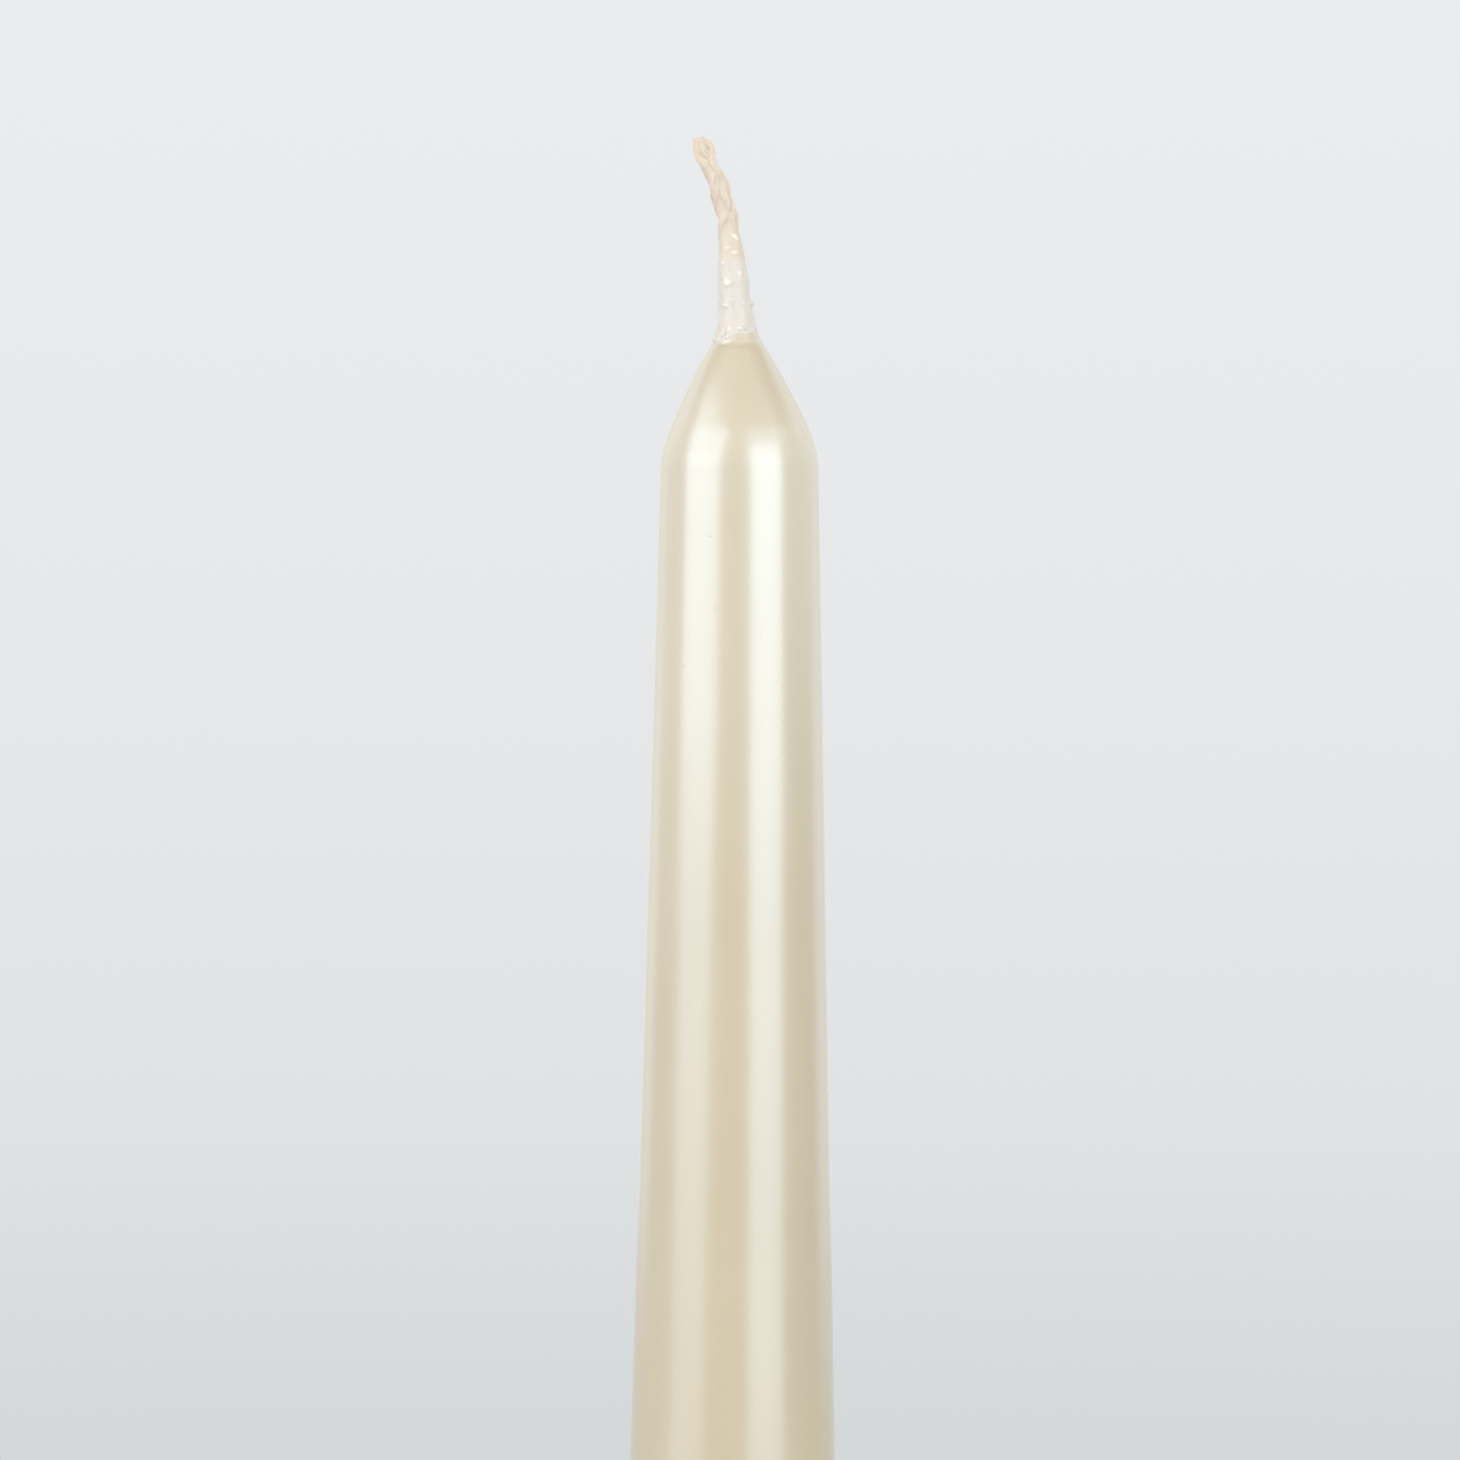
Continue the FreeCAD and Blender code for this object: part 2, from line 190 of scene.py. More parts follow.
# Candle body
candle = {
    "segments": 192,
    "holeWide": 0.84,       # the wick's hole in the foot
    "holeDeep": 0.69,
    "holeTop": 1.6,
    "holeEdge": 0.06,
    "undersideRings": (2.2, 4.0, 5.8, 7.6, 9.2),
    "footRadius": 11.0,
    "footEdge": 0.8,
    "footHeight": 20.0,
    "shoulderAt": 239.8,
    "shoulderFrom": 6.0,
    "shoulderCurve": 9.0,
    "noseCurve": 49.0,
    "neckRadius": 1.65,
    "neckAt": 250.0,
    "ringStep": 4.0,
    "footEdgeSteps": 6,
    "shoulderSteps": 14,
    "noseSteps": 30,
    "tipShift": -0.2,       # the nose stands a little left of the axis
    "shiftFrom": 242.5,
    "waviness": 0.022,      # slow waves in the wall, faded out at the foot and the tip
    "waveSize": 16.0,
    "wavyFrom": 1.0,
    "wavyTo": 249.0,
    "wavyFadeLow": 6,
    "wavyFadeHigh": 3,
    # the top of the wall is drawn to the lacquer's ragged edge and onto the wick's wax
    "coatFrom": 247.0,
    "coatRings": (250.25, 250.5),
    "coatStand": 0.04,      # how far the edge stands off the wick's wax
    "onWaxFrom": 249.0,
    "onWaxOver": 0.8,
    "lipRings": ((0.06, 250.5), (0.14, 250.3), (0.40, 248.7)),  # how far in, height
    "lipStep": 0.06,        # the lip turns in by this much from ring to ring
    "lipDrop": 0.12,
    # height of the edge by angle round the neck
    "edgeHeights": [
        (-180, 250.1), (-150, 249.75), (-110, 249.95), (-80, 249.7), (-60, 249.5),
        (-35, 249.5), (-20, 249.62), (-8, 250.12), (35, 250.14), (60, 250.35),
        (85, 250.7), (110, 250.5), (135, 249.9), (160, 250.2), (180, 250.1)],
    "edgeRagged": 0.10,
    "edgeFine": 0.06,
}


def candleRows():  # radius and height up the wall: foot, taper, shoulder arc, nose arc
    taper = math.atan(
        (candle["footRadius"] - candle["shoulderFrom"])
        / (candle["shoulderAt"] - candle["footHeight"]))
    shoulder = candle["shoulderCurve"]
    nose = candle["noseCurve"]
    middleR = candle["shoulderFrom"] - shoulder * math.cos(taper)
    middleZ = candle["shoulderAt"] - shoulder * math.sin(taper)
    toNeck = Vector((candle["neckRadius"] - middleR, candle["neckAt"] - middleZ))
    gap = nose - shoulder
    along = (nose ** 2 - toNeck.length_squared - gap ** 2) / (2 * gap * toNeck.length)
    join = math.atan2(toNeck.y, toNeck.x) - math.acos(along)  # where the two arcs meet
    noseR = middleR - gap * math.cos(join)
    noseZ = middleZ - gap * math.sin(join)
    end = math.asin((candle["neckAt"] - noseZ) / nose)
    wall = []
    edge = candle["footEdge"]
    for count in range(candle["footEdgeSteps"] + 1):
        turn = math.radians(90 * count / candle["footEdgeSteps"])
        wall.append((candle["footRadius"] - edge + edge * math.sin(turn),
                     edge - edge * math.cos(turn)))
    height = candle["ringStep"]
    while height < candle["footHeight"] - 0.1:
        wall.append((candle["footRadius"], height))
        height += candle["ringStep"]
    steps = round((candle["shoulderAt"] - candle["footHeight"]) / candle["ringStep"])
    for count in range(steps + 1):
        share = count / steps
        wall.append((
            candle["footRadius"] + (candle["shoulderFrom"] - candle["footRadius"]) * share,
            candle["footHeight"] + (candle["shoulderAt"] - candle["footHeight"]) * share))
    for count in range(1, candle["shoulderSteps"] + 1):
        turn = taper + (join - taper) * count / candle["shoulderSteps"]
        wall.append((middleR + shoulder * math.cos(turn), middleZ + shoulder * math.sin(turn)))
    for count in range(1, candle["noseSteps"] + 1):
        turn = join + (end - join) * count / candle["noseSteps"]
        wall.append((noseR + nose * math.cos(turn), noseZ + nose * math.sin(turn)))
    return wall


candleWall = candleRows()


def wallRadius(height):
    for (lowR, lowZ), (highR, highZ) in zip(candleWall, candleWall[1:]):
        if lowZ <= height <= highZ and highZ > lowZ:
            return lowR + (highR - lowR) * (height - lowZ) / (highZ - lowZ)
    return candleWall[-1][0]


def tipShift(height):
    risen = (height - candle["shiftFrom"]) / (candle["neckAt"] - candle["shiftFrom"])
    return candle["tipShift"] * ease(risen)


# Wax that climbed the wick. The candle's lip is drawn to it, so its sizes stand here
climbingWax = {
    "segments": 88,
    "ringStep": 0.11,
    # height, middle, half width, half depth
    "rows": [
        (248.8, -0.20, 1.40, 1.40), (249.5, -0.22, 1.88, 1.88), (249.8, -0.23, 1.77, 1.77),
        (250.15, -0.28, 1.65, 1.65), (250.45, -0.31, 1.55, 1.56), (250.8, -0.34, 1.48, 1.49),
        (251.3, -0.33, 1.39, 1.40), (251.9, -0.38, 1.33, 1.34),
        (252.8, -0.51, 1.20, 1.25), (254.3, -0.56, 1.19, 1.18), (255.8, -0.70, 1.13, 1.10),
        (257.0, -0.80, 1.01, 0.97), (258.0, -0.89, 0.92, 0.84), (258.8, -1.02, 0.84, 0.74),
        (260.3, -1.36, 0.78, 0.68)],
    "endHeight": 259.3,     # the film's ragged end
    "endRagged": 0.9,
    "endFine": 0.35,
    "unevenFrom": 253.0,    # above this the rings are drawn up or down to that end
    "filmFrom": 253.6,      # above this it is a film that shows the plait's shape
    "filmFull": 256.4,
    "filmGap": 0.03,
    "filmHug": 0.28,        # how closely the film follows the plait, low down and at its end
    "filmHugTop": 0.75,
    "filmSink": 0.24,       # how deep its end sinks between the yarns, and over what height
    "sinkOver": 1.5,
    "keepOff": 0.3,         # nothing sinks nearer to the wick's middle
    "lumpSize": 0.75,
    "lumpHeight": 0.09,
    "lumpsFrom": 249.9,
    "lumpsOver": 0.9,
    "lumpsLost": 0.8,       # the share of the lumps that is missing on the film
    "fuseGrain": 0.05,
    "fuseRounds": 2,
}


def waxAt(height):
    rows = climbingWax["rows"]
    for low, high in zip(rows, rows[1:]):
        if height <= high[0]:
            share = (height - low[0]) / (high[0] - low[0])
            return [a + (b - a) * share for a, b in zip(low, high)]
    return list(rows[-1])


def coatEdgeHeight(degrees):
    turn = math.radians(degrees)
    ragged = roundNoise(turn, 4.0, 3.1)
    fine = roundNoise(turn, 8.0, 7.7)
    return (between(candle["edgeHeights"], degrees)
            + candle["edgeRagged"] * ragged + candle["edgeFine"] * fine)


def candleOutline():  # out of the wick's hole, over the underside, up the wall and into the lip
    hole = candle["holeWide"]
    deep = candle["holeDeep"]
    edge = candle["holeEdge"]
    neck = candle["neckRadius"]
    rows = [(0, 0, hole, deep, candle["holeTop"]), (0, 0, hole, deep, edge),
            (0, 0, hole + edge, deep + edge, 0.0)]
    rings = [(radius, 0.0) for radius in candle["undersideRings"]]
    rings += candleWall
    rings += [(neck, height) for height in candle["coatRings"]]
    lipStart = len(rows) + len(rings)
    rings += [(neck - inward, height) for inward, height in candle["lipRings"]]
    rows += [(0, 0, radius, radius, height) for radius, height in rings]
    return rows, lipStart


def drawLip(piece, lipStart):  # the last ring of the lip stays down inside the wax
    low = candle["coatFrom"]
    high = candle["coatRings"][-1]
    for spot in piece.data.vertices:
        ring = spot.index // candle["segments"]
        x, y, z = spot.co / mm
        if z <= low or ring >= lipStart + 2:
            spot.co.x += tipShift(z) * mm
            continue
        degrees = aroundDegrees(x, y)
        turn = math.radians(degrees)
        share = (min(z, high) - low) / (high - low)
        height = low + (coatEdgeHeight(degrees) - low) * share
        if ring == lipStart + 1:
            height -= candle["lipDrop"]
        radius = wallRadius(min(height, candle["neckAt"]))
        x = math.sin(turn) * radius + tipShift(height)
        y = -math.cos(turn) * radius
        middle, wide, deep = waxAt(height)[1:]
        stand = candle["coatStand"] - candle["lipStep"] * max(0, ring - lipStart + 1)
        waxX = middle + math.sin(turn) * (wide + stand)
        waxY = -math.cos(turn) * (deep + stand)
        onWax = ease((height - candle["onWaxFrom"]) / candle["onWaxOver"])
        if ring >= lipStart:
            onWax = 1.0
        spot.co = Vector((x + (waxX - x) * onWax, y + (waxY - y) * onWax, height)) * mm


def rippleWall(piece):
    wavy = piece.vertex_groups.new(name="wavy")
    for spot in piece.data.vertices:
        height = spot.co.z / mm
        share = ease((height - candle["wavyFrom"]) / candle["wavyFadeLow"])
        share *= ease((candle["wavyTo"] - height) / candle["wavyFadeHigh"])
        wavy.add([spot.index], share, "REPLACE")
    ripple = bpy.data.textures.new("slowRipple", "CLOUDS")
    ripple.noise_scale = candle["waveSize"] * mm
    useModifier(piece, "DISPLACE", texture=ripple, texture_coords="LOCAL", mid_level=0.5,
                strength=candle["waviness"] * mm * 2, vertex_group="wavy")


def makeCandle():
    rows, lipStart = candleOutline()
    piece = raiseRings("candleBody", rows, candle["segments"])
    drawLip(piece, lipStart)
    rippleWall(piece)
    smoothFaces(piece, 50)
    return piece


candleBody = makeCandle()
print("candle body:", len(candleBody.data.polygons), "faces")

# Wick
wickPlait = {
    # route of the middle: across and height
    "route": [
        (0, 0.4), (0, 60.0), (0, 150.0), (0, 238.0), (0, 246.8), (-0.47, 253.2),
        (-0.84, 257.9), (-1.43, 260.6), (-2.05, 262.1), (-2.62, 263.3), (-2.92, 264.2),
        (-3.12, 265.1)],
    "showFrom": 247.5,      # the upper plait is made from here to the cut
    "cutHeight": 264.90,
    "cutRagged": 0.07,
    "footFrom": 0.42,       # and again in the foot's recess
    "footTo": 2.6,
    "strands": 3,
    "repeat": 8.1,          # one strand from side to side and back
    "phase": 0.30,
    "phaseFrom": 200.0,
    "swing": 0.435,         # strands from side to side
    "depth": 0.24,          # and over and under
    "yarnCount": 5,
    "yarnRing": 0.260,      # the yarns' middles, round the strand's middle
    "yarnRadius": 0.170,
    "yarnTwist": 5.2,
    "yarnSides": 2,
    "sampleStep": 0.12,
    # unevenness: turns of a yarn, its ring, its thickness, and how far it strays sideways
    "twistUneven": 0.7,
    "ringUneven": 0.22,
    "thickUneven": 0.10,
    "stray": 0.02,
    "pinchAt": 262.60,
    "pinch": 0.76,
    "pinchLength": 0.75,
    "pinchThin": 0.28,      # how much of the pinch goes into the yarns' thickness
    # the strands splay in three bundles past the pinch: left, middle, right
    "fanAcross": (-0.57, -0.05, 0.56),
    "fanDepth": (0.06, -0.15, 0.10),
    "fanEnd": (-0.05, 0.03, -0.12),
    "fanFrom": 0.1,
    "fanOver": 1.2,
    "fanUntwist": 0.8,
    "fanTight": 0.42,
    "closing": 0.45,        # their ends come together again
    "closeFrom": 263.7,
    "closeOver": 1.3,
    "fuseGrain": 0.044,
    "fuseRounds": 4,
}


def routeLine():
    path = bpy.data.curves.new("wickRoute", "CURVE")
    path.dimensions = "3D"
    path.resolution_u = 60
    spline = path.splines.new("NURBS")
    spline.points.add(len(wickPlait["route"]) - 1)
    for spot, (across, height) in zip(spline.points, wickPlait["route"]):
        spot.co = (across * mm, 0, height * mm, 1)
    spline.order_u = 3
    spline.use_endpoint_u = True
    holder = bpy.data.objects.new("wickRoute", path)
    bpy.context.scene.collection.objects.link(holder)
    line = bpy.data.meshes.new_from_object(holder)
    points = [spot.co.copy() for spot in line.vertices]
    bpy.data.objects.remove(holder)
    bpy.data.meshes.remove(line)
    return points


wickLine = routeLine()


def onRoute(height):  # middle of the wick and its direction at a height
    low = 0
    high = len(wickLine) - 1
    while high - low > 1:
        half = (low + high) // 2
        if wickLine[half].z < height * mm:
            low = half
        else:
            high = half
    below, above = wickLine[low], wickLine[high]
    share = (height * mm - below.z) / (above.z - below.z)
    return below.lerp(above, share), (above - below).normalized()


def strandPlace(strand, height):
    run = height - wickPlait["phaseFrom"]
    turn = run / wickPlait["repeat"] + strand / wickPlait["strands"] + wickPlait["phase"]
    turn = 2 * math.pi * turn
    return wickPlait["swing"] * math.sin(turn), wickPlait["depth"] * math.sin(2 * turn)


# the strands in their order from left to right at the pinch, which is that of the bundles
bundles = sorted(range(wickPlait["strands"]),
                 key=lambda strand: strandPlace(strand, wickPlait["pinchAt"])[0])


def yarnLine(strand, yarn, fromHeight, toHeight):
    line = []
    height = fromHeight
    bundle = bundles.index(strand)
    apart = 5.0 * strand + 1.7 * yarn  # each yarn reads the noise at its own place
    while height < toHeight:
        middle, along = onRoute(height)
        sideways = Vector((along.z, 0, -along.x))
        across, deep = strandPlace(strand, height)
        past = height - wickPlait["pinchAt"]
        away = past / wickPlait["pinchLength"]
        pinched = 1 - (1 - wickPlait["pinch"]) * math.exp(-away ** 2)
        fanned = ease((past - wickPlait["fanFrom"]) / wickPlait["fanOver"])
        closing = wickPlait["closing"] * ease(
            (height - wickPlait["closeFrom"]) / wickPlait["closeOver"])
        fanAcross = wickPlait["fanAcross"][bundle] * (1 - closing)
        across = (across * (1 - fanned) + fanAcross * fanned) * pinched
        deep = (deep * (1 - fanned) + wickPlait["fanDepth"][bundle] * fanned) * pinched
        run = height - wickPlait["fanUntwist"] * max(0.0, past)
        twist = 2 * math.pi * (run / wickPlait["yarnTwist"] + yarn / wickPlait["yarnCount"])
        twist += wickPlait["twistUneven"] * noise.noise(Vector((apart, height * 0.5, 0)))
        ring = wickPlait["yarnRing"] * (1 - wickPlait["fanTight"] * fanned)
        ring *= 0.5 + 0.5 * pinched
        ring *= 1 + wickPlait["ringUneven"] * noise.noise(Vector((apart, 4.4, height * 0.9)))
        across += ring * math.cos(twist)
        deep += ring * math.sin(twist)
        across += wickPlait["stray"] * noise.noise(Vector((apart, height * 2.4, 9.0)))
        place = middle + (sideways * across + Vector((0, deep, 0))) * mm
        uneven = noise.noise(Vector((height * 1.6, apart, 2)))
        thick = wickPlait["yarnRadius"] * (1 + wickPlait["thickUneven"] * uneven)
        thick *= 1 - wickPlait["pinchThin"] + wickPlait["pinchThin"] * pinched
        line.append((place, thick * mm))
        height += wickPlait["sampleStep"]
    return line


def cutYarn(strand, yarn):  # a yarn of the upper plait, ended at its own cut
    cut = wickPlait["cutHeight"]
    line = yarnLine(strand, yarn, wickPlait["showFrom"], cut + 0.6)
    end = cut + wickPlait["fanEnd"][bundles.index(strand)]
    end += wickPlait["cutRagged"] * noise.noise(Vector((strand * 3.3, yarn * 2.1, 5)))
    kept = [spot for spot in line if spot[0].z < end * mm]
    last, after = kept[-1], line[len(kept)]
    share = (end * mm - last[0].z) / (after[0].z - last[0].z)
    kept.append((last[0].lerp(after[0], share), last[1] * 0.96))
    return kept


def tubes(name, lines, sides):
    shape = bpy.data.curves.new(name, "CURVE")
    shape.dimensions = "3D"
    shape.bevel_depth = 1.0
    shape.bevel_resolution = sides
    shape.use_fill_caps = True
    for line in lines:
        spline = shape.splines.new("POLY")
        spline.points.add(len(line) - 1)
        for spot, (place, thick) in zip(spline.points, line):
            spot.co = (place.x, place.y, place.z, 1)
            spot.radius = thick
    piece = bpy.data.objects.new(name, shape)
    bpy.context.scene.collection.objects.link(piece)
    pickOnly(piece)
    bpy.ops.object.convert(target="MESH")
    piece = bpy.context.object
    piece.data.name = name
    return piece


# the wick's plain middle, where it isn't seen: height, half width, half depth
wickMiddle = {
    "sides": 24,
    "inWax": [
        (1.9, 0.66, 0.52), (60, 0.66, 0.52), (120, 0.66, 0.52), (180, 0.66, 0.52),
        (230, 0.66, 0.52), (244, 0.64, 0.50), (248.5, 0.60, 0.44)],
    # the packed middle of the plait, at the top and in the foot's recess
    "packedTop": [
        (247.6, 0.60, 0.44), (250, 0.66, 0.46), (252, 0.66, 0.46), (254, 0.66, 0.46),
        (256, 0.66, 0.46), (258, 0.66, 0.46), (260, 0.66, 0.46), (261, 0.66, 0.46),
        (262, 0.60, 0.40), (262.8, 0.50, 0.34), (263.4, 0.54, 0.26), (264.0, 0.48, 0.20),
        (264.5, 0.34, 0.14)],
    "packedFoot": [(0.50, 0.52, 0.40), (1.4, 0.58, 0.44), (2.5, 0.58, 0.44)],
}


def makeWickMiddle(name, stretch):
    rows = []
    for height, wide, deep in wickMiddle[stretch]:
        middle = onRoute(height)[0] / mm
        rows.append((middle.x, 0, wide, deep, height))
    return raiseRings(name, rows, wickMiddle["sides"])


def makePlait():
    lines = []
    for strand in range(wickPlait["strands"]):
        for yarn in range(wickPlait["yarnCount"]):
            lines.append(cutYarn(strand, yarn))
            lines.append(yarnLine(strand, yarn, wickPlait["footFrom"], wickPlait["footTo"]))
    parts = [tubes("plait", lines, wickPlait["yarnSides"])]
    for stretch in ("packedTop", "packedFoot"):
        parts.append(makeWickMiddle(stretch, stretch))
    piece = joinPieces("plait", parts)
    fuse(piece, wickPlait["fuseGrain"], wickPlait["fuseRounds"])
    smoothFaces(piece, 80)
    return piece


fibres = {
    "atCut": {
        "count": 12,
        "heights": (264.65, 264.85),
        "reachFrom": 0.05,  # distance of a fibre's root from the wick's middle
        "reach": 0.40,
        "flat": 0.5,
        "lengths": (0.15, 0.34)},
    "onPlait": {
        "count": 6,
        "heights": (258.3, 264.0),
        "reach": 0.50,
        "flat": 0.8,
        "lengths": (0.45, 0.65)},
    "radius": 0.016,
    "thinning": 0.08,       # of the radius, from one point to the next
    "points": 7,
    "bendSide": 0.3,
    "bendDown": -0.25,
    "bendUp": 0.1,
    "highest": 264.98,
}


def fibreLine(kind):
    choices = fibres[kind]
    middle, along = onRoute(random.uniform(*choices["heights"]))
    sideways = Vector((along.z, 0, -along.x))
    turn = random.uniform(0, 2 * math.pi)
    reach = choices["reach"]
    if "reachFrom" in choices:
        reach = random.uniform(choices["reachFrom"], reach)
    place = middle + (sideways * math.cos(turn) * reach
                      + Vector((0, math.sin(turn) * reach * choices["flat"], 0))) * mm
    outward = sideways * math.cos(turn) + Vector((0, math.sin(turn), 0))
    heading = along * random.uniform(0.6, 1.0) + outward * random.uniform(0.15, 0.6)
    length = random.uniform(*choices["lengths"])
    bend = fibres["bendSide"]
    line = []
    for step in range(fibres["points"]):
        line.append((place.copy(), fibres["radius"] * (1 - fibres["thinning"] * step) * mm))
        heading += Vector((random.uniform(-bend, bend), random.uniform(-bend, bend),
                           random.uniform(fibres["bendDown"], fibres["bendUp"])))
        place = place + heading.normalized() * length / (fibres["points"] - 1) * mm
        place.z = min(place.z, fibres["highest"] * mm)
    return line


def makeFibres():  # loose fibres at the cut and along the plait
    lines = []
    for kind in ("atCut", "onPlait"):
        for count in range(fibres[kind]["count"]):
            lines.append(fibreLine(kind))
    piece = tubes("looseFibres", lines, 0)
    smoothFaces(piece, 80)
    return piece


plait = makePlait()
wickCore = makeWickMiddle("wickCore", "inWax")
looseFibres = makeFibres()
print("wick:", len(plait.data.polygons), "faces in the plait")


# Wax on the wick
def filmEnd(turn):
    ragged = roundNoise(turn, 1.6, 11.0)
    fine = roundNoise(turn, 5.0, 17.0)
    uneven = ragged + climbingWax["endFine"] * fine
    return climbingWax["endHeight"] + climbingWax["endRagged"] * uneven


def turnOnWax(x, y, height):
    return math.radians(aroundDegrees(x - waxAt(height)[1], y))


def raiseSleeve():
    first = climbingWax["rows"][0][0]
    last = climbingWax["rows"][-1][0]
    steps = round((last - first) / climbingWax["ringStep"])
    rows = []
    for count in range(steps + 1):
        height, middle, wide, deep = waxAt(first + (last - first) * count / steps)
        rows.append((middle, 0, wide, deep, height))
    piece = raiseRings("climbingWax", rows, climbingWax["segments"])
    low = climbingWax["unevenFrom"]
    for spot in piece.data.vertices:  # the upper end is uneven
        x, y, z = spot.co / mm
        if z > low:
            end = filmEnd(turnOnWax(x, y, z))
            height = low + (z - low) * (end - low) / (last - low)
            spot.co.x += (waxAt(height)[1] - waxAt(z)[1]) * mm
            spot.co.z = height * mm
    return piece


def markFilm(piece):  # groups for the film above and the thick wax below
    film = piece.vertex_groups.new(name="film")
    thick = piece.vertex_groups.new(name="thick")
    filmFull = climbingWax["filmFull"]
    hugLow = climbingWax["filmHug"]
    for spot in piece.data.vertices:
        height = spot.co.z / mm
        share = ease((height - climbingWax["filmFrom"]) / (filmFull - climbingWax["filmFrom"]))
        hug = hugLow + (climbingWax["filmHugTop"] - hugLow) * ease(
            (height - filmFull) / (climbingWax["endHeight"] - filmFull))
        film.add([spot.index], share * hug, "REPLACE")
        lumpy = ease((height - climbingWax["lumpsFrom"]) / climbingWax["lumpsOver"])
        lumpy *= 1 - climbingWax["lumpsLost"] * share
        thick.add([spot.index], lumpy, "REPLACE")


def sinkFilm(piece):  # the film thins out and sinks between the yarns
    over = climbingWax["sinkOver"]
    for spot in piece.data.vertices:
        x, y, z = spot.co / mm
        sink = ease((z - filmEnd(turnOnWax(x, y, z)) + over) / over) * climbingWax["filmSink"]
        inward = Vector((onRoute(z)[0].x, 0, spot.co.z)) - spot.co
        if inward.length > climbingWax["keepOff"] * mm:
            spot.co += inward.normalized() * sink * mm


def makeSleeve():
    piece = raiseSleeve()
    markFilm(piece)
    useModifier(piece, "SHRINKWRAP", target=plait, wrap_method="NEAREST_SURFACEPOINT",
                wrap_mode="OUTSIDE_SURFACE", offset=climbingWax["filmGap"] * mm,
                vertex_group="film")
    useModifier(piece, "SMOOTH", factor=0.5, iterations=2, vertex_group="film")
    sinkFilm(piece)
    lumps = bpy.data.textures.new("waxLumps", "CLOUDS")
    lumps.noise_scale = climbingWax["lumpSize"] * mm
    lumps.noise_depth = 2
    useModifier(piece, "DISPLACE", texture=lumps, texture_coords="LOCAL", mid_level=0.5,
                strength=climbingWax["lumpHeight"] * mm, vertex_group="thick")
    return piece


# beads and chips on the sleeve's front, which become part of its skin
waxBeads = {
    # across, height, half width, half height, how far proud, tilt, strength of its painted glint
    "beads": [
        (-0.46, 257.45, 0.30, 0.15, 0.02, 38, 1.0), (-1.10, 256.60, 0.24, 0.09, 0.0, 0, 0.8),
        (-0.48, 256.25, 0.29, 0.11, 0.0, 0, 1.0), (-0.09, 254.62, 0.14, 0.28, 0.04, 5, 1.0),
        (-1.04, 253.98, 0.29, 0.27, 0.06, 25, 1.0), (-1.36, 255.50, 0.13, 0.09, 0.0, 0, 0.7),
        (0.24, 252.40, 0.13, 0.15, 0.04, 0, 0.45), (-1.22, 252.25, 0.30, 0.12, 0.03, 20, 0.4),
        (0.90, 252.45, 0.20, 0.34, 0.16, 10, 0.0), (-0.70, 252.60, 0.15, 0.10, 0.02, 40, 0.2),
        (-0.82, 250.45, 0.20, 0.18, 0.07, 30, 0.7), (-0.02, 250.50, 0.17, 0.18, 0.07, 0, 0.7),
        (-1.33, 249.98, 0.075, 0.52, 0.10, 42, 0.85), (-0.90, 249.88, 0.20, 0.20, 0.04, 30, 0.4),
        (0.45, 250.30, 0.08, 0.24, 0.05, -55, 0.3)],
    "seated": 0.05,         # part of a bead's half thickness that lies in the wax
    "uneven": 0.75,
    "unevenSize": 0.15,
    "sideLimit": 0.97,      # no bead lies further round than this share of the half width
    "castFrom": -5.0,       # the rays that find the wax start this far in front
    "paintedGlintFull": 0.35,       # its painted glint is whole to here and gone at shine, in the bead's own size
    "shine": 1.45,
    "shineUneven": 0.5,
    "shineSize": 0.11,
    "markReach": 0.9,
}


def onWaxFront(across, height):
    middle, wide, deep = waxAt(height)[1:]
    limit = waxBeads["sideLimit"]
    sine = max(-limit, min(limit, (across - middle) / wide))
    turn = math.asin(sine)
    return Vector((middle + wide * sine, -deep * math.cos(turn), height)), turn


def beadPlaces(sleeve):  # beads sit on the finished front of the sleeve
    bpy.context.view_layer.update()
    places = []
    for across, height, *shape in waxBeads["beads"]:
        place, turn = onWaxFront(across, height)
        start = Vector((across, waxBeads["castFrom"], height)) * mm
        hit, spot = sleeve.ray_cast(start, Vector((0, 1, 0)))[:2]
        if hit:
            place = spot / mm
        places.append((place, turn, *shape))
    return places


def makeBeads(places):
    made = []
    for place, turn, wide, tall, proud, tilt, paintedGlint in places:
        bpy.ops.object.select_all(action="DESELECT")
        bpy.ops.mesh.primitive_ico_sphere_add(subdivisions=3, radius=mm, location=place * mm)
        paintedGlintBead = bpy.context.object
        roundness = min(wide, tall) / max(wide, tall)
        paintedGlintBead.scale = (wide, proud + waxBeads["seated"], tall)
        paintedGlintBead.rotation_euler = (0, math.radians(tilt), 0)
        settle(paintedGlintBead)
        for spot in paintedGlintBead.data.vertices:  # made uneven, then turned to lie on the wax
            offset = spot.co - place * mm
            bulge = noise.noise(spot.co / (waxBeads["unevenSize"] * mm))
            offset *= 1 + waxBeads["uneven"] * roundness * bulge
            x = offset.x * math.cos(turn) - offset.y * math.sin(turn)
            y = offset.x * math.sin(turn) + offset.y * math.cos(turn)
            spot.co = place * mm + Vector((x, y, offset.z))
        made.append(paintedGlintBead)
    return made


